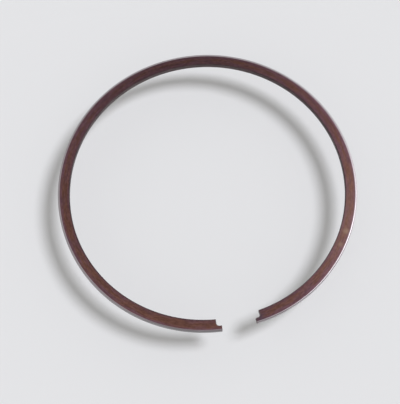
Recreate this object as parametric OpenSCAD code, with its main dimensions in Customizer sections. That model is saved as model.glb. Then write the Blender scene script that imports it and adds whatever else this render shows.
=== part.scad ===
// Single piston ring of rectangular section, in its free (sprung open) shape.
// Units are millimetres, +Z is up. The ring lies flat with its lower flank on Z = 0,
// and the gap faces -Y. The origin is the middle of the ring's outline.
//
// A ring that presses evenly on its cylinder is not round when it is free:
// the back is wider than the bore and the ends curl in. Three arcs carry that
// form here, one at the back and one towards each end, tangent where they meet.

/* [Ring] */

// Cylinder bore that the ring closes into
bore_d = 54; // [46:0.5:66]
// Height between the flanks
ring_h = 1.2; // [0.9:0.05:1.8]
// Radial wall, from the inner face to the running face
wall_w = 2.2; // [1.8:0.05:2.6]
// Gap between the two tips while the ring is free
free_gap = 6.4; // [4.5:0.1:8.5]
// Gap left between the tips when the ring is in its bore
closed_gap = 0.3; // [0.15:0.05:0.6]

/* [Edges] */

// Rounding of both edges of the running face
face_edge_r = 0.22; // [0.12:0.01:0.32]
// Chamfer of both edges of the inner face
inner_chamfer = 0.14; // [0.06:0.01:0.25]

/* [Pin notch] */

// Length of the notch along the ring, from the tip
notch_len = 0.95; // [0.85:0.05:1.6]
// Thickness of the tongue that is left outside the notch
tongue_t = 0.95; // [0.6:0.05:1.1]
// Fillet in the inside corner of the notch
notch_r = 0.55; // [0.3:0.05:0.75]
// Chamfer of the notch's edges on both flanks
notch_chamfer = 0.14; // [0.06:0.01:0.2]

/* [Hidden] */

$fn = 240;

// a thousandth of a millimetre, as a drawing would round it
function micron(v) = round(v * 1000) / 1000;

// how far the middle line opens, for an even pressure all round
opening = (free_gap - closed_gap) / (3 * PI);
// middle line when closed, and of the back and end arcs when free
closed_r = bore_d / 2 - wall_w / 2;
back_r = micron(1 / (1 / closed_r - (1 + 2 / PI) * opening / pow(closed_r, 2)));
end_r = micron(1 / (1 / closed_r - (1 - 2 / PI) * opening / pow(closed_r, 2)));
// the end arcs have their centres this far to either side
end_x = back_r - end_r;
// the tips stop this many degrees short of -Y
tip_a = asin((free_gap / 2 - end_x) / (end_r + wall_w / 2));
// the outline's middle, which goes to the origin
mid_y = micron((back_r + wall_w / 2 - (end_r + wall_w / 2) * cos(tip_a)) / 2);
// the wall of the notch that faces inwards, from the end arc's centre
notch_floor_r = end_r + wall_w / 2 - tongue_t;
// how far a cutter reaches past the surface it opens
over = 1;

// half of the section's corner at the inner face, for the chamfer
module chamfer_corner() {
    polygon([[-over, -over], [inner_chamfer + over, -over], [-over, inner_chamfer + over]]);
}

// rectangular section, running face outwards, its middle line at radius r
module section(r) {
    translate([r - wall_w / 2, 0])
    difference() {
        union() {
            square([wall_w - face_edge_r, ring_h]);
            translate([0, face_edge_r])
            square([wall_w, ring_h - 2 * face_edge_r]);
            for (z = [face_edge_r, ring_h - face_edge_r])
                translate([wall_w - face_edge_r, z])
                circle(r = face_edge_r);
        }
        chamfer_corner();
        translate([0, ring_h])
        mirror([0, 1])
        chamfer_corner();
    }
}

// half circle at the back
module back_arc() {
    rotate_extrude(angle = 180)
    section(back_r);
}

// tighter arc from the side to the tip, on +X
module end_arc() {
    translate([end_x, 0, 0])
    mirror([0, 1, 0])
    rotate_extrude(angle = 90 - tip_a)
    section(end_r);
}

// outline of the notch, the tip on the left and the running face below
module notch_outline() {
    depth = wall_w - tongue_t;
    translate([-over, 0])
    square([over + notch_len - notch_r, depth + over]);
    translate([-over, notch_r])
    square([over + notch_len, depth + over - notch_r]);
    translate([notch_len - notch_r, notch_r])
    circle(r = notch_r);
}

// a 45 degree slope that starts at the chamfer's foot and leans out past a flank
module slope(length) {
    rise = notch_chamfer + over;
    rotate([90, 0, 0])
    mirror([0, 0, 1])
    linear_extrude(height = length)
    polygon([[-over, 0], [0, 0], [rise, rise], [-over, rise]]);
}

// opens the notch's edges on one flank by the chamfer, along wall, fillet and floor
module notch_flare() {
    rise = notch_chamfer + over;
    translate([notch_len, notch_r, 0])
    slope(wall_w - tongue_t + over);
    translate([notch_len - notch_r, notch_r, 0])
    cylinder(h = rise, r1 = notch_r, r2 = notch_r + rise);
    translate([notch_len - notch_r, 0, 0])
    rotate([0, 0, -90])
    mirror([0, 1, 0])
    slope(over + notch_len - notch_r);
}

// the notch at the tip on +X, cut right through from flank to flank
module notch() {
    translate([end_x, 0, 0])
    rotate([0, 0, tip_a])
    translate([0, -notch_floor_r, 0]) {
        translate([0, 0, -over])
        linear_extrude(height = ring_h + 2 * over)
        notch_outline();
        translate([0, 0, ring_h - notch_chamfer])
        notch_flare();
        translate([0, 0, notch_chamfer])
        mirror([0, 0, 1])
        notch_flare();
    }
}

// the whole ring
module piston_ring() {
    color([0.36, 0.24, 0.22])
    translate([0, -mid_y, 0])
    difference() {
        union() {
            back_arc();
            end_arc();
            mirror([1, 0, 0]) end_arc();
        }
        notch();
        mirror([1, 0, 0]) notch();
    }
}

piston_ring();
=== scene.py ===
# %% [markdown]
# # A piston ring, dressed in Blender
# The ring is one springy piece of steel. Its flat sides, called flanks, are brown
# from tempering. Its outer side, called the running face, is plated with hard chrome.
# Both ends are notched to sit around a small pin in the piston's groove.
#
# The solid part comes in as a fixed frame. Everything below is worked out in metres
# in that same frame, so nothing has to be fitted by eye.

# %% Load the solid part
import math

import bpy
import numpy as np
from mathutils import Matrix, Vector


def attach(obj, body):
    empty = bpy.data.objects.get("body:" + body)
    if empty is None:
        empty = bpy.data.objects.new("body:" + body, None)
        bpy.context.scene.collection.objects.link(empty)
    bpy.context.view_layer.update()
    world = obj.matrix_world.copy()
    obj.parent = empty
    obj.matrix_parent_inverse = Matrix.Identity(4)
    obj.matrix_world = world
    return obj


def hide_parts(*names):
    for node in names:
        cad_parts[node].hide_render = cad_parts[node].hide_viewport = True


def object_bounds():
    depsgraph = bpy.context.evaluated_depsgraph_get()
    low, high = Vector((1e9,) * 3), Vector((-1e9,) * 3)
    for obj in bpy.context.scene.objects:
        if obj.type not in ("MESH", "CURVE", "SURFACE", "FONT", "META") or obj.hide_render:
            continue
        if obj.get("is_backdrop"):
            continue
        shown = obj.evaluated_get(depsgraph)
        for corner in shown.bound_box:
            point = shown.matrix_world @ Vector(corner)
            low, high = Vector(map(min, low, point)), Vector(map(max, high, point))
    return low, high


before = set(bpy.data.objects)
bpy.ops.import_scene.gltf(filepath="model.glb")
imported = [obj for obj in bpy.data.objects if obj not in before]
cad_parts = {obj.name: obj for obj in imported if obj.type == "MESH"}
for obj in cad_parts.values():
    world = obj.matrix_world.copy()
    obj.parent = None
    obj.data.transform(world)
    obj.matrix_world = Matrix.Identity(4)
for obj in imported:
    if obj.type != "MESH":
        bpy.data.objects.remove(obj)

cad_low, cad_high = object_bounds()
cad_size = cad_high - cad_low
print("solid part, mm:", [round(1000 * side, 3) for side in cad_size])

# %% [markdown]
# ## The sizes of the ring
# A free ring is not round. To press evenly on its cylinder when it is closed, it has
# to be flatter at the back and curl in towards its ends. Three arcs carry that form:
# a half circle at the back and a tighter arc on each side of the gap. Their radii
# follow from the bore, the wall and how far the gap springs open.

# %% Sizes
MM = 0.001
bore_d = 54 * MM
ring_h = 1.2 * MM
wall_w = 2.2 * MM
free_gap = 6.4 * MM
closed_gap = 0.3 * MM
face_edge_r = 0.22 * MM
inner_chamfer = 0.14 * MM
notch_len = 0.95 * MM
tongue_t = 0.95 * MM
notch_r = 0.55 * MM
notch_chamfer = 0.14 * MM

opening = (free_gap - closed_gap) / (3 * math.pi)
closed_r = bore_d / 2 - wall_w / 2
back_r = 1 / (1 / closed_r - (1 + 2 / math.pi) * opening / closed_r ** 2)
end_r = 1 / (1 / closed_r - (1 - 2 / math.pi) * opening / closed_r ** 2)
end_x = back_r - end_r
tip_a = math.asin((free_gap / 2 - end_x) / (end_r + wall_w / 2))
mid_y = (back_r + wall_w / 2 - (end_r + wall_w / 2) * math.cos(tip_a)) / 2
print("back and end radius, mm:", round(back_r / MM, 3), round(end_r / MM, 3))

# %% [markdown]
# ## The outline of one half
# Seen from above, half of the ring has an inner line and an outer line. The inner line
# starts at the tongue's tip, follows the floor of the notch, its fillet and its wall,
# turns the corner and then runs along the inner face to the back. It could be drawn
# by hand and bevelled, but then the edges would not keep one width around the notch.
# So each point of the line is kept twice: once on the upright wall, and once on the
# flank, set in by the width of the edge. The edge is spun between the two later.

# %% Helpers for lines and arcs
def along_line(start, end, count):
    """Points from start to end, equally spaced: start + t (end - start)."""
    t = np.linspace(0, 1, count)[:, None]
    return np.asarray(start) + t * (np.asarray(end) - np.asarray(start))


def along_arc(centre, radius, first, last, count):
    """Points on an arc: centre + radius (cos a, sin a), a from first to last."""
    a = np.linspace(first, last, count)
    return np.asarray(centre) + radius * np.stack([np.cos(a), np.sin(a)], 1)


def rounded_corner(corner, normal_a, normal_b, radius, count):
    """A corner softened by a small arc: its centre lies inside both walls by the
    radius, and the arc turns from the first wall's normal to the second's."""
    a, b = np.asarray(normal_a, float), np.asarray(normal_b, float)
    centre = np.asarray(corner) - radius * (a + b) / (1 + a @ b)
    turn = np.linspace(0, 1, count)[:, None]
    mixed = (1 - turn) * a + turn * b
    return centre + radius * mixed / np.linalg.norm(mixed, axis=1, keepdims=True)


# %% The notch and the inner line, in the tip's own frame
corner_r = 0.05 * MM
end_edge = 0.07 * MM
notch_floor_r = end_r + wall_w / 2 - tongue_t
inner_end_r = end_r - wall_w / 2
wall_top = notch_floor_r - math.sqrt(inner_end_r ** 2 - notch_len ** 2)

fillet_centre = np.array([notch_len - notch_r, notch_r])
inner_corner = np.array([notch_len, wall_top])
to_centre = np.array([0, notch_floor_r]) - inner_corner
to_centre /= np.linalg.norm(to_centre)
wall_normal = np.array([-1.0, 0.0])
floor_normal = np.array([0.0, 1.0])
corner_set_in = inner_corner - notch_chamfer * wall_normal - inner_chamfer * to_centre

tip_inner = np.array([0.0, 0.0])
tip_inner_set_in = tip_inner - end_edge * wall_normal - notch_chamfer * floor_normal
tip_outer = np.array([0.0, -tongue_t])
tip_outer_set_in = tip_outer - end_edge * wall_normal + face_edge_r * floor_normal

CORNER_POINTS = 5
FLOOR_POINTS, FILLET_POINTS, WALL_POINTS = 5, 14, 6
notch_wall_line = np.concatenate([
    along_line([corner_r, 0], [fillet_centre[0], 0], FLOOR_POINTS)[:-1],
    along_arc(fillet_centre, notch_r, -math.pi / 2, 0, FILLET_POINTS)[:-1],
    along_line([notch_len, notch_r], inner_corner - [0, corner_r], WALL_POINTS)[:-1],
    rounded_corner(inner_corner, wall_normal, to_centre, corner_r, CORNER_POINTS),
])
notch_flank_line = np.concatenate([
    along_line(tip_inner_set_in, [fillet_centre[0], -notch_chamfer], FLOOR_POINTS)[:-1],
    along_arc(fillet_centre, notch_r + notch_chamfer, -math.pi / 2, 0, FILLET_POINTS)[:-1],
    along_line([notch_len + notch_chamfer, notch_r], corner_set_in, WALL_POINTS)[:-1],
    np.repeat(corner_set_in[None], CORNER_POINTS, 0),
])
print("points along one notch:", len(notch_wall_line))

# %% [markdown]
# ## From the tip's frame to the ring
# The notch was drawn in a little frame of its own: x runs along the ring away from
# the gap, y runs towards the middle of the ring. Turning that frame by the tip's angle
# and shifting it to the end arc's centre puts it in place. The other half is a mirror
# image, so it is made by changing the sign of x and walking the points backwards.

# %% Put the half outline together
def tip_to_ring(points):
    """The tip's frame turned by the tip's angle about the end arc's centre."""
    c, s = math.cos(tip_a), math.sin(tip_a)
    x = points[:, 0]
    y = points[:, 1] - notch_floor_r
    return np.stack([end_x + c * x - s * y, s * x + c * y], 1)


def angle_about(points, centre_x):
    """The angle of each point about a centre on the x axis."""
    return np.arctan2(points[:, 1], points[:, 0] - centre_x)


END_POINTS, BACK_POINTS = 130, 141
notch_wall_ring = tip_to_ring(notch_wall_line)
notch_flank_ring = tip_to_ring(notch_flank_line)
first_wall_a = angle_about(notch_wall_ring[-1:], end_x)[0]
first_flank_a = angle_about(notch_flank_ring[-1:], end_x)[0]
inner_back_r = back_r - wall_w / 2

end_centre, back_centre = np.array([end_x, 0]), np.zeros(2)
quarter = math.pi / 2
inner_wall = np.concatenate([
    notch_wall_ring[:-1],
    along_arc(end_centre, inner_end_r, first_wall_a, 0, END_POINTS)[:-1],
    along_arc(back_centre, inner_back_r, 0, quarter, BACK_POINTS),
])
inner_flank = np.concatenate([
    notch_flank_ring[:-1],
    along_arc(end_centre, inner_end_r + inner_chamfer, first_flank_a, 0, END_POINTS)[:-1],
    along_arc(back_centre, inner_back_r + inner_chamfer, 0, quarter, BACK_POINTS),
])
print("points on the inner line of one half:", len(inner_wall))

# %% [markdown]
# ## The outer line
# Every point of the inner line gets a partner on the outer face that lies on the same
# spoke. Spokes through one centre never cross, so the flank between the two lines can
# be filled by plain strips from inside to outside.

# %% The outer line and the two tips
BACK_START = len(inner_flank) - BACK_POINTS
spoke_end = angle_about(inner_flank[:BACK_START], end_x)
spoke_back = angle_about(inner_flank[BACK_START:], 0)
end_spokes = np.stack([np.cos(spoke_end), np.sin(spoke_end)], 1)
back_spokes = np.stack([np.cos(spoke_back), np.sin(spoke_back)], 1)
outer_wall = np.concatenate([
    end_centre + (end_r + wall_w / 2) * end_spokes,
    back_centre + (back_r + wall_w / 2) * back_spokes,
])
outer_flank = np.concatenate([
    end_centre + (end_r + wall_w / 2 - face_edge_r) * end_spokes,
    back_centre + (back_r + wall_w / 2 - face_edge_r) * back_spokes,
])
outer_flank[0] = tip_to_ring(tip_outer_set_in[None])[0]

tip_wall = np.concatenate([
    rounded_corner(tip_outer, -floor_normal, wall_normal, corner_r, CORNER_POINTS),
    rounded_corner(tip_inner, wall_normal, floor_normal, corner_r, CORNER_POINTS),
])
tip_flank = np.concatenate([
    np.repeat(tip_outer_set_in[None], CORNER_POINTS, 0),
    np.repeat(tip_inner_set_in[None], CORNER_POINTS, 0),
])
tip_wall, tip_flank = tip_to_ring(tip_wall), tip_to_ring(tip_flank)
outer_wall[0] = tip_wall[0]
print("points on one half, inside and outside:", len(inner_wall), len(outer_wall))

# %% [markdown]
# ## One closed line around the whole ring
# The line runs along the outer face from the right tip over the back to the left tip,
# around that tip, back along the inner face, and around the right tip to its start.
# Each point also carries the height of its edge and how that edge is cut: the running
# face is rounded, and the other edges are chamfered with only a trace of rounding.

# %% The closed line
FLIP = np.array([-1.0, 1.0])


def whole(half):
    """The right half followed by its mirror image, which is walked backwards."""
    return np.concatenate([half, (half * FLIP)[-2::-1]])


CHAMFERED, ROUNDED = 0.8, 0.0
tip_edge = np.concatenate([
    np.linspace(face_edge_r, end_edge, CORNER_POINTS),
    np.linspace(end_edge, notch_chamfer, CORNER_POINTS),
])
tip_cut = np.concatenate([
    np.linspace(ROUNDED, CHAMFERED, CORNER_POINTS),
    np.full(CORNER_POINTS, CHAMFERED),
])
chain = len(whole(outer_wall))
loop_wall = np.concatenate([
    whole(outer_wall), (tip_wall * FLIP)[1:], whole(inner_wall)[::-1][1:-1], tip_wall[::-1][:-1],
])
loop_flank = np.concatenate([
    whole(outer_flank), (tip_flank * FLIP)[1:], whole(inner_flank)[::-1][1:-1],
    tip_flank[::-1][:-1],
])
loop_edge = np.concatenate([
    np.full(chain, face_edge_r), tip_edge[1:], np.full(chain - 2, inner_chamfer),
    tip_edge[::-1][:-1],
])
loop_cut = np.concatenate([
    np.full(chain, ROUNDED), tip_cut[1:], np.full(chain - 2, CHAMFERED), tip_cut[::-1][:-1],
])
centre_shift = np.array([0, -mid_y])
loop_wall = loop_wall + centre_shift
loop_flank = loop_flank + centre_shift
loop_count = len(loop_wall)
print("points around the ring:", loop_count)

# %% [markdown]
# ## Carrying the section around
# The section of the wall is a short list of heights with a set-in for each: from the
# upper flank around the edge, down the wall, and around the lower edge. Carried along
# the closed line, it gives one grid of points for everything except the flanks.

# %% The grid of points
EDGE_STEPS, WALL_STEPS = 6, 4


def section_grid():
    """A grid of points, one row per height and one column per point of the line.
    A point is wall + f (flank - wall), where f falls from 1 on the flank to 0 on the
    wall: 1 - cos(t) on a rounded edge and a straight fall on a chamfer. The height
    falls by the edge's own size over the same stretch, and mirrors below."""
    t = np.linspace(math.pi / 2, 0, EDGE_STEPS + 1)[:, None]
    straight = np.linspace(0, 1, EDGE_STEPS + 1)[:, None]
    set_in = (1 - loop_cut) * (1 - np.cos(t)) + loop_cut * (1 - straight)
    drop = (1 - loop_cut) * (1 - np.sin(t)) + loop_cut * straight
    upper = ring_h - drop * loop_edge
    down = np.linspace(0, 1, WALL_STEPS + 1)[1:-1, None]
    wall = (1 - down) * upper[-1] + down * (ring_h - upper[-1])
    height = np.concatenate([upper, wall, (ring_h - upper)[::-1]])
    set_in = np.concatenate([set_in, np.zeros_like(wall), set_in[::-1]])
    plan = loop_wall + set_in[:, :, None] * (loop_flank - loop_wall)
    return np.concatenate([plan, height[:, :, None]], 2)


grid = section_grid()
rows = grid.shape[0]
print("grid of rows, columns and coordinates:", grid.shape)

# %% [markdown]
# ## Faces
# Neighbours in the grid make the faces of the wall. Each flank is a row of strips from
# a point of the outer line to its partner on the inner line. Every face also gets the
# number of its finish: the flanks are brown, the running face is plated, and the
# inside, the notches and the ends are cut steel.

# %% The faces of the shell
BROWN, PLATED, CUT = 0, 1, 2
column = np.arange(loop_count)
row = np.arange(rows - 1)[:, None]
spoke = np.arange(chain - 1)
inner_first = 2 * chain + 2 * CORNER_POINTS - 3


def wall_faces():
    """Four neighbours of the grid, walked down and then along, so they look outwards."""
    here = row * loop_count + column
    after = row * loop_count + (column + 1) % loop_count
    return np.stack([here, here + loop_count, after + loop_count, after], 2).reshape(-1, 4)


def flank_faces():
    """Strips between partners: the outer line forwards, then the inner line back."""
    outer, inner = spoke, inner_first - spoke
    upper = np.stack([outer, outer + 1, inner - 1, inner], 1)
    lower = (rows - 1) * loop_count + upper[:, ::-1]
    return np.concatenate([upper, lower])


wall_finish = np.where(column < chain - 1, PLATED, CUT)
faces = np.concatenate([wall_faces(), flank_faces()])
finish = np.concatenate([
    np.broadcast_to(wall_finish, (rows - 1, loop_count)).reshape(-1),
    np.full(2 * len(spoke), BROWN),
])
print("faces:", len(faces))

# %% [markdown]
# ## A flat map of the ring
# A pattern that is baked needs every face flat on a square. Unrolled, the ring is a
# band far longer than it is wide, so a plain unwrap would leave most of the square
# empty. Here the wall and the two flanks are unrolled as bands, and each band is
# folded into rows that lie one below the other.

# %% Fold the bands into rows
MAP_SIDE = 40 * MM
MAP_ROW = 38.5 * MM
MAP_MARGIN = 0.4 * MM


def folded(along, across, band_width, first_row_at):
    """A band cut into rows of one length: each face goes to the row that its middle
    falls in, and its place along the row is what is left over."""
    number = np.floor(along.mean(1, keepdims=True) / MAP_ROW)
    u = along - number * MAP_ROW + MAP_MARGIN
    v = first_row_at + number * (band_width + MAP_MARGIN) + across
    return np.stack([u, v], 2) / MAP_SIDE, v.max() + MAP_MARGIN


def travelled(points):
    """The distance walked from the first point to each point of a line."""
    steps = np.linalg.norm(np.diff(points, axis=0), axis=1)
    return np.concatenate([[0], np.cumsum(steps)])


walk = travelled(np.concatenate([loop_wall, loop_wall[:1]]))
depth = travelled(np.stack([grid[:, 0, 0], grid[:, 0, 2]], 1))
wall_along = np.stack([walk[:-1], walk[:-1], walk[1:], walk[1:]], 1)
wall_along = np.broadcast_to(wall_along, (rows - 1, loop_count, 4)).reshape(-1, 4)
wall_across = np.stack([depth[:-1], depth[1:], depth[1:], depth[:-1]], 1)
wall_across = np.repeat(wall_across, loop_count, 0)
wall_map, next_row = folded(wall_along, wall_across, depth[-1], MAP_MARGIN)

spoke_walk = walk[:chain]
spoke_width = np.linalg.norm(grid[0, :chain] - grid[0, inner_first - np.arange(chain)], axis=1)
flank_along = np.stack([spoke_walk[:-1], spoke_walk[1:], spoke_walk[1:], spoke_walk[:-1]], 1)
zero = np.zeros(len(spoke))
flank_across = np.stack([zero, zero, spoke_width[1:], spoke_width[:-1]], 1)
upper_map, next_row = folded(flank_along, flank_across, spoke_width.max(), next_row)
lower_map, next_row = folded(flank_along, flank_across, spoke_width.max(), next_row)
flat_map = np.concatenate([wall_map, upper_map, lower_map[:, ::-1]])
print("the map fills", round(next_row / MAP_SIDE, 2), "of the square's height")

# %% [markdown]
# ## The finished shell
# Points that fall on one another at the sharp corners are merged, which closes the
# shell. Then the edges between two finishes, and all edges of the chamfers, are marked
# sharp, so that the flat flanks stay flat when the rest is shaded smooth.

# %% Build the mesh
import bmesh

MERGE_DISTANCE = 0.0001 * MM
SHARP_ANGLE = math.radians(24)


def merge_points(mesh):
    """Joins the points that lie on one another, and says how many edges stay open."""
    shell = bmesh.new()
    shell.from_mesh(mesh)
    bmesh.ops.remove_doubles(shell, verts=shell.verts, dist=MERGE_DISTANCE)
    open_edges = sum(len(edge.link_faces) != 2 for edge in shell.edges)
    volume = shell.calc_volume(signed=True)
    shell.to_mesh(mesh)
    shell.free()
    print("open edges:", open_edges, " volume, cubic mm:", round(volume / MM ** 3, 1))


def mark_sharp(mesh):
    """An edge is sharp where it is bent by more than an angle or parts two finishes."""
    mesh.set_sharp_from_angle(angle=SHARP_ANGLE)
    sharp = np.zeros(len(mesh.edges), bool)
    mesh.attributes["sharp_edge"].data.foreach_get("value", sharp)
    corner_edge = np.zeros(len(mesh.loops), np.int32)
    mesh.loops.foreach_get("edge_index", corner_edge)
    face_corners = np.zeros(len(mesh.polygons), np.int32)
    mesh.polygons.foreach_get("loop_total", face_corners)
    face_finish = np.zeros(len(mesh.polygons), np.int32)
    mesh.polygons.foreach_get("material_index", face_finish)
    corner_finish = np.repeat(face_finish, face_corners)
    lowest = np.full(len(mesh.edges), CUT)
    highest = np.full(len(mesh.edges), BROWN)
    np.minimum.at(lowest, corner_edge, corner_finish)
    np.maximum.at(highest, corner_edge, corner_finish)
    mesh.attributes["sharp_edge"].data.foreach_set("value", sharp | (lowest != highest))


def make_shell():
    """The grid and its faces as one mesh object, with its finishes and its flat map."""
    mesh = bpy.data.meshes.new("ring_shell")
    mesh.from_pydata(grid.reshape(-1, 3).tolist(), [], faces.tolist())
    mesh.polygons.foreach_set("material_index", finish.astype(np.int32))
    flat = mesh.uv_layers.new(name="OFBake")
    flat.uv.foreach_set("vector", flat_map.reshape(-1).astype(np.float32))
    merge_points(mesh)
    mesh.shade_smooth()
    mark_sharp(mesh)
    ring = bpy.data.objects.new("dressed_ring", mesh)
    bpy.context.scene.collection.objects.link(ring)
    return ring


ring = make_shell()
print("triangles:", sum(len(face.vertices) - 2 for face in ring.data.polygons))

# %% [markdown]
# ## Where a point lies on the ring
# Grinding marks run along the ring, so a pattern needs to know how far along the ring,
# how far across its wall and how high up a point lies. Bending a straight pattern with
# nodes would take three arcs' worth of nodes. It is simpler to work the three lengths
# out once for every point, and keep them with the mesh as an attribute.

# %% Keep each point's place
def place_on_ring(points):
    """How far along, across and up each point lies. Along is counted from the middle
    of the back: the angle times the radius, on the back arc and then on the end arc.
    Across is the distance from the arc's centre less the inner radius."""
    x, y, up = np.abs(points[:, 0]), points[:, 1] + mid_y, points[:, 2]
    on_back = y > 0
    centre_x = np.where(on_back, 0, end_x)
    radius = np.where(on_back, back_r, end_r)
    angle = np.arctan2(y, x - centre_x)
    along = back_r * quarter - radius * angle
    across = np.hypot(x - centre_x, y) - (radius - wall_w / 2)
    return np.stack([np.sign(points[:, 0]) * along, across, up], 1)


points = np.zeros(3 * len(ring.data.vertices))
ring.data.vertices.foreach_get("co", points)
place = place_on_ring(points.reshape(-1, 3))
kept = ring.data.attributes.new("ring_place", "FLOAT_VECTOR", "POINT")
kept.data.foreach_set("vector", place.reshape(-1).astype(np.float32))
half_length = place[:, 0].max()
print("developed length, mm:", round(2 * half_length / MM, 2))

# %% [markdown]
# ## Shared effects
# Two effects are used by all three finishes. Fine lines along the ring are left by
# grinding and lapping. Soft patches are left by heat, oil and handling. Each is a node
# group with named inputs, built once, so a finish only has to choose its own values.
# Both come from the same idea: noise on a place that is divided by a length along the
# ring and by a width across it, which draws every blot out along the ring.

# %% Helpers for nodes
def feed(tree, value, socket):
    """Links the value into a socket if it is a socket too, and else sets it there."""
    if isinstance(value, bpy.types.NodeSocket):
        tree.links.new(value, socket)
    else:
        socket.default_value = value


def add_node(tree, kind, **values):
    """A new node. Each value goes to the input of that name, with _ for a space."""
    node = tree.nodes.new(kind)
    for name, value in values.items():
        feed(tree, value, node.inputs[name.replace("_", " ")])
    return node


def calculated(tree, operation, first, second=0.0):
    """One step of arithmetic on two values, each a socket or a number."""
    node = tree.nodes.new("ShaderNodeMath")
    node.operation = operation
    feed(tree, first, node.inputs[0])
    feed(tree, second, node.inputs[1])
    return node.outputs["Value"]


def spread(tree, value, low, high):
    """A value stretched so that low becomes 0 and high becomes 1, held in between."""
    node = add_node(tree, "ShaderNodeMapRange", Value=value, From_Min=low, From_Max=high)
    return node.outputs["Result"]


def between(tree, value, low, high):
    """A value from 0 to 1, moved to lie between low and high."""
    node = add_node(tree, "ShaderNodeMapRange", Value=value, To_Min=low, To_Max=high)
    return node.outputs["Result"]


# %% Lines and patches
def new_group(name, inputs, output):
    """An empty node group with named inputs and one output, a value."""
    group = bpy.data.node_groups.new(name, "ShaderNodeTree")
    for label, kind in inputs.items():
        group.interface.new_socket(label, in_out="INPUT", socket_type=kind)
    group.interface.new_socket(output, in_out="OUTPUT", socket_type="NodeSocketFloat")
    return group, group.nodes.new("NodeGroupInput").outputs, group.nodes.new("NodeGroupOutput")


def drawn_out_noise(name, output, detail, roughness, low, high):
    """Noise on a place that is divided by a length along the ring and a width across it.
    Its values from low to high are spread over 0 to 1."""
    inputs = {
        "Place": "NodeSocketVector", "Length": "NodeSocketFloat", "Width": "NodeSocketFloat",
    }
    group, given, result = new_group(name, inputs, output)
    size = add_node(group, "ShaderNodeCombineXYZ", X=given["Length"], Y=given["Width"], Z=given["Width"])
    divided = group.nodes.new("ShaderNodeVectorMath")
    divided.operation = "DIVIDE"
    feed(group, given["Place"], divided.inputs[0])
    feed(group, size.outputs["Vector"], divided.inputs[1])
    noise = add_node(
        group, "ShaderNodeTexNoise",
        Vector=divided.outputs["Vector"], Scale=1, Detail=detail, Roughness=roughness,
    )
    feed(group, spread(group, noise.outputs["Fac"], low, high), result.inputs[output])
    return group


LINES = drawn_out_noise("lengthwise_lines", "Lines", detail=3, roughness=0.6, low=0.3, high=0.7)
PATCHES = drawn_out_noise("soft_patches", "Patches", detail=2, roughness=0.5, low=0.35, high=0.65)
print("shared effects:", LINES.name, PATCHES.name)

# %% [markdown]
# ## Tools for a finish
# All three finishes are metals that are mixed in the same few steps: two colours are
# blended by a share, a colour is made darker or paler, and fine lines change the gloss.
# Each step is a small helper, so a finish below reads like its recipe. The places of the
# colours on a Mix node are given by number, because they share their names with others.

# %% Helpers for a finish
MIX_FIRST, MIX_SECOND, MIX_RESULT = 6, 7, 2


def mixed_colour(tree, way, share, first, second):
    """Two colours put together in one of the Mix node's ways. Each colour is a socket or
    three numbers."""
    node = tree.nodes.new("ShaderNodeMix")
    node.data_type = "RGBA"
    node.blend_type = way
    feed(tree, share, node.inputs["Factor"])
    for index, colour in ((MIX_FIRST, first), (MIX_SECOND, second)):
        feed(tree, (*colour, 1) if isinstance(colour, tuple) else colour, node.inputs[index])
    return node.outputs[MIX_RESULT]


def blended(tree, share, first, second):
    """A colour between two others: the first where the share is 0, the second at 1."""
    return mixed_colour(tree, "MIX", share, first, second)


def toned(tree, colour, value):
    """A colour made darker or paler: each of its parts times a value."""
    return mixed_colour(tree, "MULTIPLY", 1, colour, value)


def patterned(tree, group, place, size_mm):
    """A shared effect placed in a finish, with its length and width in millimetres."""
    node = tree.nodes.new("ShaderNodeGroup")
    node.node_tree = group
    feed(tree, place, node.inputs["Place"])
    node.inputs["Length"].default_value = size_mm[0] * MM
    node.inputs["Width"].default_value = size_mm[1] * MM
    return node.outputs[0]


def towards_ends(tree, along, start, stop):
    """0 up to a distance from the middle of the back, and 1 from a larger one."""
    return spread(tree, calculated(tree, "ABSOLUTE", along), start, stop)


def new_finish(name):
    """A new metal with its shader, each point's place on the ring, and its three parts."""
    material = bpy.data.materials.new(name)
    material.use_nodes = True
    tree = material.node_tree
    shader = tree.nodes["Principled BSDF"]
    shader.inputs["Metallic"].default_value = 1
    place = tree.nodes.new("ShaderNodeAttribute")
    place.attribute_name = "ring_place"
    parts = add_node(tree, "ShaderNodeSeparateXYZ", Vector=place.outputs["Vector"])
    return material, tree, shader, place.outputs["Vector"], parts.outputs


def brushed(tree, shader, lines, dull, glossy, depth):
    """Lets lines change the gloss, and stand up from the surface by a depth."""
    feed(tree, between(tree, lines, dull, glossy), shader.inputs["Roughness"])
    bump = add_node(tree, "ShaderNodeBump", Height=lines, Distance=depth, Strength=1)
    feed(tree, bump.outputs["Normal"], shader.inputs["Normal"])


# %% [markdown]
# ## The brown flanks
# The flanks were tempered in air, which leaves a film of oxide on the steel. The film's
# colour follows its thickness: some places are orange brown and others plum. It is
# still a metal, so what it mirrors takes on its colour. The colours could be painted on
# the flat map by hand, but the paint would not follow a change of size. So the finish is
# built up from its causes, and each cause gets a cell.
#
# The first cause is slow. The ring is darkest at the back, lighter on both sides and
# darker again at the ends. Its left end is the most orange, and the stretch left of the
# back has the most plum. Both drift through a few listed places: a place in millimetres
# from the middle of the back, with the right side positive, and a share.

# %% Slow drifts along the ring
DEEP_PLUM, DEEP_ORANGE = (0.097, 0.0495, 0.0595), (0.101, 0.047, 0.0355)
WARM_PLUM, WARM_ORANGE = (0.157, 0.079, 0.097), (0.167, 0.077, 0.059)
WARMTH = (
    (-80, 0.5), (-58, 1.0), (-36, 1.0), (2, 0.0), (31, 0.57), (52, 0.85), (78, 0.2),
)
TINT = (
    (-76, 0.88), (-58, 0.68), (-34, 0.65), (-18, 0.1), (6, 0.3), (30, 0.5), (78, 0.6),
)


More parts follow.
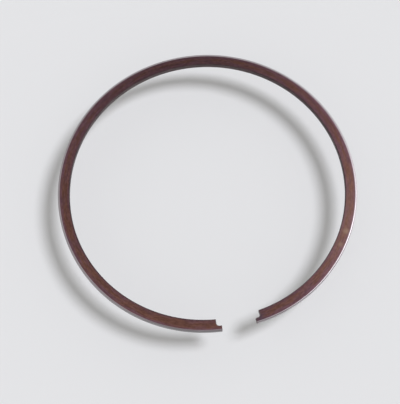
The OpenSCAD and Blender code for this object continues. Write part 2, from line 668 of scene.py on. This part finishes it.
def drifting(tree, along, stops):
    """A share that drifts smoothly along the ring, through a few listed places."""
    where = spread(tree, along, -half_length, half_length)
    ramp = add_node(tree, "ShaderNodeValToRGB", Fac=where)
    ramp.color_ramp.interpolation = "EASE"
    elements = ramp.color_ramp.elements
    while len(elements) < len(stops):
        elements.new(1)
    for element, (place_mm, share) in zip(elements, stops):
        element.position = 0.5 + place_mm * MM / (2 * half_length)
        element.color = (share, share, share, 1)
    return ramp.outputs["Color"]


print("places where light and tint are set:", len(WARMTH), len(TINT))

# %% [markdown]
# The second cause lies across the flank. Its middle is more bronze than its margins, its
# inner margin is a little darker and its outer half a little paler. At the outer edge
# the plating wraps over the corner and leaves a pale rim, which gets narrower towards
# the ends. Each of these is a soft step on the distance across the wall.

# %% Steps across a flank
MIDDLE_FROM, MIDDLE_TO, OUTER_MARGIN = 0.75 * MM, 1.2 * MM, 1.8 * MM
INNER_MARGIN_WIDTH = 0.25 * MM
PALER_FROM, PALER_TO = 0.85 * MM, 1.7 * MM
RIM_WIDTH, RIM_NARROWS, RIM_BLUR = 0.14 * MM, 0.11 * MM, 0.04 * MM
RIM_FULL_TO, RIM_NARROW_FROM = 50 * MM, 70 * MM
rim_start = wall_w - face_edge_r - RIM_WIDTH


def bronze_middle(tree, across):
    """1 in the middle of a flank and 0 at its margins: a rise from the inside and a fall
    to the outside, added, less 1."""
    rise = spread(tree, across, inner_chamfer, MIDDLE_FROM)
    fall = spread(tree, across, OUTER_MARGIN, MIDDLE_TO)
    return spread(tree, calculated(tree, "ADD", rise, fall), 1, 2)


def plated_rim(tree, along, across):
    """1 on the outer rim of a flank. Towards the ends the distance across is made smaller,
    so the rim starts further out."""
    narrow = between(tree, towards_ends(tree, along, RIM_FULL_TO, RIM_NARROW_FROM), 0, -RIM_NARROWS)
    moved = calculated(tree, "ADD", across, narrow)
    return spread(tree, moved, rim_start - RIM_BLUR, rim_start + RIM_BLUR)


print("the plated rim starts at, mm:", round(rim_start / MM, 2))

# %% [markdown]
# The third cause is handling. Two small spots on the right are rubbed down to a tan, and
# the right tongue is darker. The broad greyer patch around the two spots is painted
# sheen, where the lamp's gloss shows on the right. A mark is a soft ball around a place on
# the ring: along and across in millimetres, then its size, its share and its colour.

# %% Marks
TAN, INKY, SHEEN_PAINT_BROWN = (0.27, 0.18, 0.13), (0.075, 0.048, 0.062), (0.19, 0.118, 0.09)
MARKS = (
    # The first mark, a broad greyer brown, is painted sheen from the lamp.
    (54, 1.1, 18, 0.25, SHEEN_PAINT_BROWN), (56.8, 1.25, 0.9, 0.7, TAN), (59.6, 1.2, 0.8, 0.45, TAN),
    (80.6, 1.4, 1.5, 0.9, INKY),
)


def marked(tree, place, colour):
    """A colour with every mark mixed in. A mark's share falls smoothly from its centre to
    nothing at a distance of its size."""
    for along_mm, across_mm, size_mm, share, mark in MARKS:
        distance = tree.nodes.new("ShaderNodeVectorMath")
        distance.operation = "DISTANCE"
        feed(tree, place, distance.inputs[0])
        distance.inputs[1].default_value = (along_mm * MM, across_mm * MM, ring_h)
        ball = add_node(
            tree, "ShaderNodeMapRange",
            Value=distance.outputs["Value"], From_Min=size_mm * MM, From_Max=0, To_Max=share,
        )
        ball.interpolation_type = "SMOOTHSTEP"
        colour = blended(tree, ball.outputs["Result"], colour, mark)
    return colour


print("marks on the brown flanks:", len(MARKS))

# %% [markdown]
# Now the causes are put together. Patches and mottle shift the tint between plum and
# orange, and lines, grain and the two margins make the colour darker or paler. The
# finest lines also set the gloss, as the last grinding did.

# %% Temper brown
HEAT_MM, MOTTLE_MM, GRAIN_MM = (5, 1.6), (2.2, 0.5), (0.6, 0.26)
GROUND_MM, FINE_MM = (5, 0.3), (2, 0.16)
HEAT_REACH, MOTTLE_REACH = 0.15, 0.35
MARGIN_TINT, MIDDLE_TINT = -0.6, 0.22
RIM = (0.46, 0.41, 0.44)
GROUND_TONE, GRAIN_TONE, FINE_TONE = (0.86, 1.14), (0.83, 1.17), (0.86, 1.14)
INNER_TONE, OUTER_TONE = (0.9, 1), (0.97, 1.07)
BROWN_DULL, BROWN_GLOSSY, BROWN_LINE_DEPTH = 0.46, 0.36, 0.0006 * MM


def temper_brown():
    """A brown metal whose tint is a sum of drift, patches, mottle and profile, and whose
    tone is a product of lines, grain and margins."""
    material, tree, shader, place, parts = new_finish("temper_brown")
    along, across = parts["X"], parts["Y"]
    heat = patterned(tree, PATCHES, place, HEAT_MM)
    mottle = patterned(tree, PATCHES, place, MOTTLE_MM)
    grain = patterned(tree, PATCHES, place, GRAIN_MM)
    ground = patterned(tree, LINES, place, GROUND_MM)
    fine = patterned(tree, LINES, place, FINE_MM)
    inner = spread(tree, across, inner_chamfer, inner_chamfer + INNER_MARGIN_WIDTH)
    outer = spread(tree, across, PALER_FROM, PALER_TO)

    tint = drifting(tree, along, TINT)
    shifts = (
        (heat, -HEAT_REACH, HEAT_REACH), (mottle, -MOTTLE_REACH, MOTTLE_REACH),
        (bronze_middle(tree, across), MARGIN_TINT, MIDDLE_TINT),
    )
    for pattern, low, high in shifts:
        tint = calculated(tree, "ADD", tint, between(tree, pattern, low, high))
    deep = blended(tree, tint, DEEP_PLUM, DEEP_ORANGE)
    warm = blended(tree, tint, WARM_PLUM, WARM_ORANGE)
    colour = blended(tree, drifting(tree, along, WARMTH), deep, warm)

    tones = (
        (ground, GROUND_TONE), (grain, GRAIN_TONE), (fine, FINE_TONE),
        (inner, INNER_TONE), (outer, OUTER_TONE),
    )
    for pattern, (low, high) in tones:
        colour = toned(tree, colour, between(tree, pattern, low, high))
    colour = marked(tree, place, colour)
    colour = blended(tree, plated_rim(tree, along, across), colour, RIM)
    feed(tree, colour, shader.inputs["Base Color"])
    brushed(tree, shader, fine, BROWN_DULL, BROWN_GLOSSY, BROWN_LINE_DEPTH)
    return material


brown = temper_brown()
print("nodes in temper brown:", len(brown.node_tree.nodes))

# %% [markdown]
# ## The plated running face
# Hard chrome is pale and a little cool, and it is lapped after plating, which leaves
# very fine lines around the ring. It mirrors what stands around it, so most of what
# shows on it is the floor, the light and the ring's own shadow. One even grey would look
# like plastic here. Its colour is also toned along the ring as painted reflection: the
# wall is brighter on the right, where the lit floor shows in it, and darker on the left,
# where the shadowed floor does, and towards the ends. The rounded edge above it gets a
# painted highlight on the right, where the lamp glints on it. The wall and the rounded
# edge differ, so each has a drift of its own.

# %% Hard chrome
CHROME_COOL, CHROME_PALE = (0.76, 0.72, 0.745), (0.90, 0.86, 0.885)
WORN_EDGE = (0.58, 0.515, 0.54)
# Painted reflection on the wall and painted highlight on the rounded edge, along the ring.
WALL_PAINTED_REFLECTION = (
    (-80, 0.28), (-56, 0.5), (20, 0.44), (45, 1.0), (64, 1.0), (80, 0.62),
)
EDGE_PAINTED_HIGHLIGHT = (
    (-80, 0.45), (-54, 0.75), (30, 0.72), (48, 1.0), (68, 0.56), (80, 0.45),
)
CLOUD_MM, LAPPED_MM = (5, 0.9), (9, 0.03)
CHROME_DULL, CHROME_GLOSSY, LAPPED_DEPTH = 0.46, 0.38, 0.0003 * MM
EDGE_FOOT, EDGE_FULL = ring_h - face_edge_r, ring_h - 0.5 * face_edge_r


def hard_chrome():
    """Pale metal with a faint cloud, toned along the ring by two drifts of painted reflection:
    one for the wall, and a painted highlight for the rounded edge above it."""
    material, tree, shader, place, parts = new_finish("hard_chrome")
    cloud = patterned(tree, PATCHES, place, CLOUD_MM)
    lapped = patterned(tree, LINES, place, LAPPED_MM)
    wall = blended(tree, cloud, CHROME_COOL, CHROME_PALE)
    wall = toned(tree, wall, drifting(tree, parts["X"], WALL_PAINTED_REFLECTION))
    edge = toned(tree, WORN_EDGE, drifting(tree, parts["X"], EDGE_PAINTED_HIGHLIGHT))
    above = spread(tree, parts["Z"], EDGE_FOOT, EDGE_FULL)
    feed(tree, blended(tree, above, wall, edge), shader.inputs["Base Color"])
    brushed(tree, shader, lapped, CHROME_DULL, CHROME_GLOSSY, LAPPED_DEPTH)
    return material


chrome = hard_chrome()
print("nodes in hard chrome:", len(chrome.node_tree.nodes))

# %% [markdown]
# ## The inside, the notches and the ends
# These faces were cut or ground, and most of them are dark and warm from tempering. Only
# the notches and the tips are a paler steel with a trace of plum. One finish serves for
# all of them, with a soft change a few millimetres before each tip.

# %% Cut steel
CUT_DARK, CUT_PALE = (0.075, 0.052, 0.055), (0.115, 0.080, 0.084)
CUT_END = (0.17, 0.13, 0.135)
END_STARTS, END_FULL = 3 * MM, 2 * MM
STAIN_MM, CUT_LINES_MM = (3, 0.5), (3, 0.05)
CUT_DULL, CUT_GLOSSY, CUT_DEPTH = 0.5, 0.36, 0.0008 * MM


def cut_steel():
    """A dark metal with stains, paler at the ends, and with coarser lines than chrome."""
    material, tree, shader, place, parts = new_finish("cut_steel")
    stain = patterned(tree, PATCHES, place, STAIN_MM)
    lines = patterned(tree, LINES, place, CUT_LINES_MM)
    colour = blended(tree, stain, CUT_DARK, CUT_PALE)
    end = towards_ends(tree, parts["X"], half_length - END_STARTS, half_length - END_FULL)
    colour = blended(tree, end, colour, CUT_END)
    feed(tree, colour, shader.inputs["Base Color"])
    brushed(tree, shader, lines, CUT_DULL, CUT_GLOSSY, CUT_DEPTH)
    return material


cut = cut_steel()
print("nodes in cut steel:", len(cut.node_tree.nodes))

# %% [markdown]
# ## Dress the part
# The finishes go on in the order of their numbers. Then the solid part is hidden, and the
# shell is tied to the body it moves with.

# %% Finishes and place in the part
for material in (brown, chrome, cut):
    ring.data.materials.append(material)
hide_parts("piston_ring")
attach(ring, "root")
print("finishes:", [material.name for material in ring.data.materials])

# %% [markdown]
# ## The camera
# The picture is taken from high above and a little to the left of the gap. The direction
# and the distance come from how the ring's circle is squeezed, and how much its near side
# grows against its far side. The ring sits a little off the picture's middle. A lens
# shift could do that, but here the camera is simply aimed beside the ring. Its three
# axes are worked out one by one, which keeps the picture level.

# %% Camera
PICTURE_W_PX, PICTURE_H_PX = 400, 404
CENTRE_X_PX, CENTRE_Y_PX = 207.4, 191.0
FOCAL_PX = 1172
SENSOR_MM = 36
CLIP_START = 1 * MM
view_turn, view_rise = math.radians(-12.487), math.radians(69.438)
view_distance = 221.2 * MM

right = Vector((math.cos(view_turn), math.sin(view_turn), 0))
away = Vector((-math.sin(view_turn), math.cos(view_turn), 0))
back = Vector((0, 0, math.sin(view_rise))) - math.cos(view_rise) * away
picture_up = back.cross(right)
ring_centre = Vector((0, -mid_y, 0))
metres_per_px = view_distance / FOCAL_PX
aim = ring_centre - (CENTRE_X_PX - PICTURE_W_PX / 2) * metres_per_px * right
aim -= (PICTURE_H_PX / 2 - CENTRE_Y_PX) * metres_per_px * picture_up

lens = bpy.data.cameras.new("camera")
lens.sensor_width = SENSOR_MM
lens.lens = FOCAL_PX * SENSOR_MM / PICTURE_H_PX
lens.clip_start = CLIP_START
camera = bpy.data.objects.new("camera", lens)
camera.location = ring_centre + view_distance * back
towards_camera = (camera.location - aim).normalized()
camera_right = picture_up.cross(towards_camera).normalized()
camera_up = towards_camera.cross(camera_right)
camera_axes = Matrix((camera_right, camera_up, towards_camera)).transposed()
camera.rotation_euler = camera_axes.to_euler()
bpy.context.scene.collection.objects.link(camera)
bpy.context.scene.camera = camera
print("lens, mm:", round(lens.lens, 1))

# %% [markdown]
# ## The floor
# On a plain floor the shadow of a thin ring would touch the ring. Here it lies a few
# millimetres off, as it does under a thing on clear glass with paper below. So the pale
# floor lies lower than the ring, by the drop that puts the shadow at its distance.

# %% Floor
FLOOR_HALF = 6.0
FLOOR_PALE = (0.782, 0.779, 0.792, 1)
floor_drop = 6.52 * MM


def wide_square(name, height):
    """A square of the floor's size around the ring, at a height, as part of the stage."""
    corners = FLOOR_HALF * np.array([[-1, -1, 0], [1, -1, 0], [1, 1, 0], [-1, 1, 0]])
    corners[:, 2] = height
    mesh = bpy.data.meshes.new(name)
    mesh.from_pydata(corners.tolist(), [], [(0, 1, 2, 3)])
    square = bpy.data.objects.new(name, mesh)
    bpy.context.scene.collection.objects.link(square)
    square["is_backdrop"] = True
    material = bpy.data.materials.new(name)
    material.use_nodes = True
    mesh.materials.append(material)
    return material.node_tree


paper = wide_square("pale_floor", -floor_drop).nodes["Principled BSDF"].inputs
paper["Base Color"].default_value = FLOOR_PALE
paper["Roughness"].default_value = 1
paper["Specular IOR Level"].default_value = 0
print("the floor lies below the ring by, mm:", round(floor_drop / MM, 2))

# %% [markdown]
# ## The clear sheet
# Something has to carry the ring, or it would float when it is seen from the side. A
# clear sheet just under it does that. Seen steeply, it lets the floor show as it is. At a
# slant it gets milky and starts to mirror, as sheets of glass and acrylic do, so the
# ring then has its own shadow and a faint reflection right beside it. Only what looks at
# the sheet sees the milk: light on its way to the floor passes freely.

# %% Clear sheet
SHEET_Z = -0.02 * MM
SHEET_BLUR = 0.06
CLEAR_TO, MILKY_FROM, MIRROR_RISE = 0.13, 0.38, 4
WHITE = (1, 1, 1, 1)

sheet = wide_square("clear_sheet", SHEET_Z)
sheet.nodes.remove(sheet.nodes["Principled BSDF"])
slant = add_node(sheet, "ShaderNodeLayerWeight", Blend=0.5).outputs["Facing"]
ray = sheet.nodes.new("ShaderNodeLightPath").outputs
looked_at = calculated(sheet, "ADD", ray["Is Camera Ray"], ray["Is Glossy Ray"])
milky = spread(sheet, slant, CLEAR_TO, MILKY_FROM)
mirrored = calculated(sheet, "POWER", slant, MIRROR_RISE)

clear = sheet.nodes.new("ShaderNodeBsdfTransparent")
milk = add_node(sheet, "ShaderNodeBsdfDiffuse", Color=FLOOR_PALE)
mirror = add_node(sheet, "ShaderNodeBsdfGlossy", Color=WHITE, Roughness=SHEET_BLUR)
surface = clear.outputs["BSDF"]
for layer, amount in ((milk, milky), (mirror, mirrored)):
    layered = add_node(sheet, "ShaderNodeMixShader", Fac=between(sheet, looked_at, 0, amount))
    feed(sheet, surface, layered.inputs[1])
    feed(sheet, layer.outputs["BSDF"], layered.inputs[2])
    surface = layered.outputs["Shader"]
feed(sheet, surface, sheet.nodes["Material Output"].inputs["Surface"])
print("the sheet lies below the ring by, mm:", round(-SHEET_Z / MM, 2))

# %% [markdown]
# ## The light
# One broad lamp, high on the right, gives the soft shadow. A sun lamp with a wide angle
# does it, because it falls alike on everything, as a large soft box some way off does.
# An even light from all around keeps the shadow from going black. It is brighter near
# the horizon than overhead: a flat metal shows the sky above it, and under a bright one
# it would look white. The lamp is a trace bluer than the sky, which takes the blue out
# of the shadow.

# %% Lamp
LAMP_FROM_TOP, LAMP_TURN = math.radians(28.5), math.radians(13.2)
LAMP_WIDTH = math.radians(18.5)
LAMP_STRENGTH = 1.845
LAMP_COLOUR = (0.945, 0.96, 1.0)

lamp = bpy.data.lights.new("soft_key", "SUN")
lamp.energy = LAMP_STRENGTH
lamp.color = LAMP_COLOUR
lamp.angle = LAMP_WIDTH
lamp_side = math.cos(LAMP_TURN) * right + math.sin(LAMP_TURN) * away
to_lamp = math.sin(LAMP_FROM_TOP) * lamp_side + Vector((0, 0, math.cos(LAMP_FROM_TOP)))
soft_key = bpy.data.objects.new("soft_key", lamp)
soft_key.rotation_euler = to_lamp.to_track_quat("Z", "Y").to_euler()
bpy.context.scene.collection.objects.link(soft_key)
print("the lamp stands towards:", [round(part, 2) for part in to_lamp])

# %% Even light
SKY_COLOUR = (1.0, 1.0, 0.97, 1)
SKYLINE, DIMMER_ABOVE = 0.86, 0.533

world = bpy.data.worlds.new("even_light")
world.use_nodes = True
sky = world.node_tree
direction = sky.nodes.new("ShaderNodeTexCoord").outputs["Generated"]
height = add_node(sky, "ShaderNodeSeparateXYZ", Vector=direction).outputs["Z"]
dimmer = calculated(sky, "MULTIPLY", height, DIMMER_ABOVE)
level = calculated(sky, "SUBTRACT", SKYLINE, dimmer)
background = sky.nodes["Background"].inputs
background["Color"].default_value = SKY_COLOUR
feed(sky, level, background["Strength"])
bpy.context.scene.world = world
bpy.context.scene.view_settings.view_transform = "Standard"
print("light at the horizon and overhead:", SKYLINE, round(SKYLINE - DIMMER_ABOVE, 3))

# %% [markdown]
# ## The size of the dressed ring
# The dressed ring has to fill the same box as the solid part. Both boxes are printed,
# the solid part's near the start and the dressed ring's here.

# %% The dressed ring's box
shown_low, shown_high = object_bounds()
shown_size = shown_high - shown_low
print("dressed ring, mm:", [round(side / MM, 3) for side in shown_size])
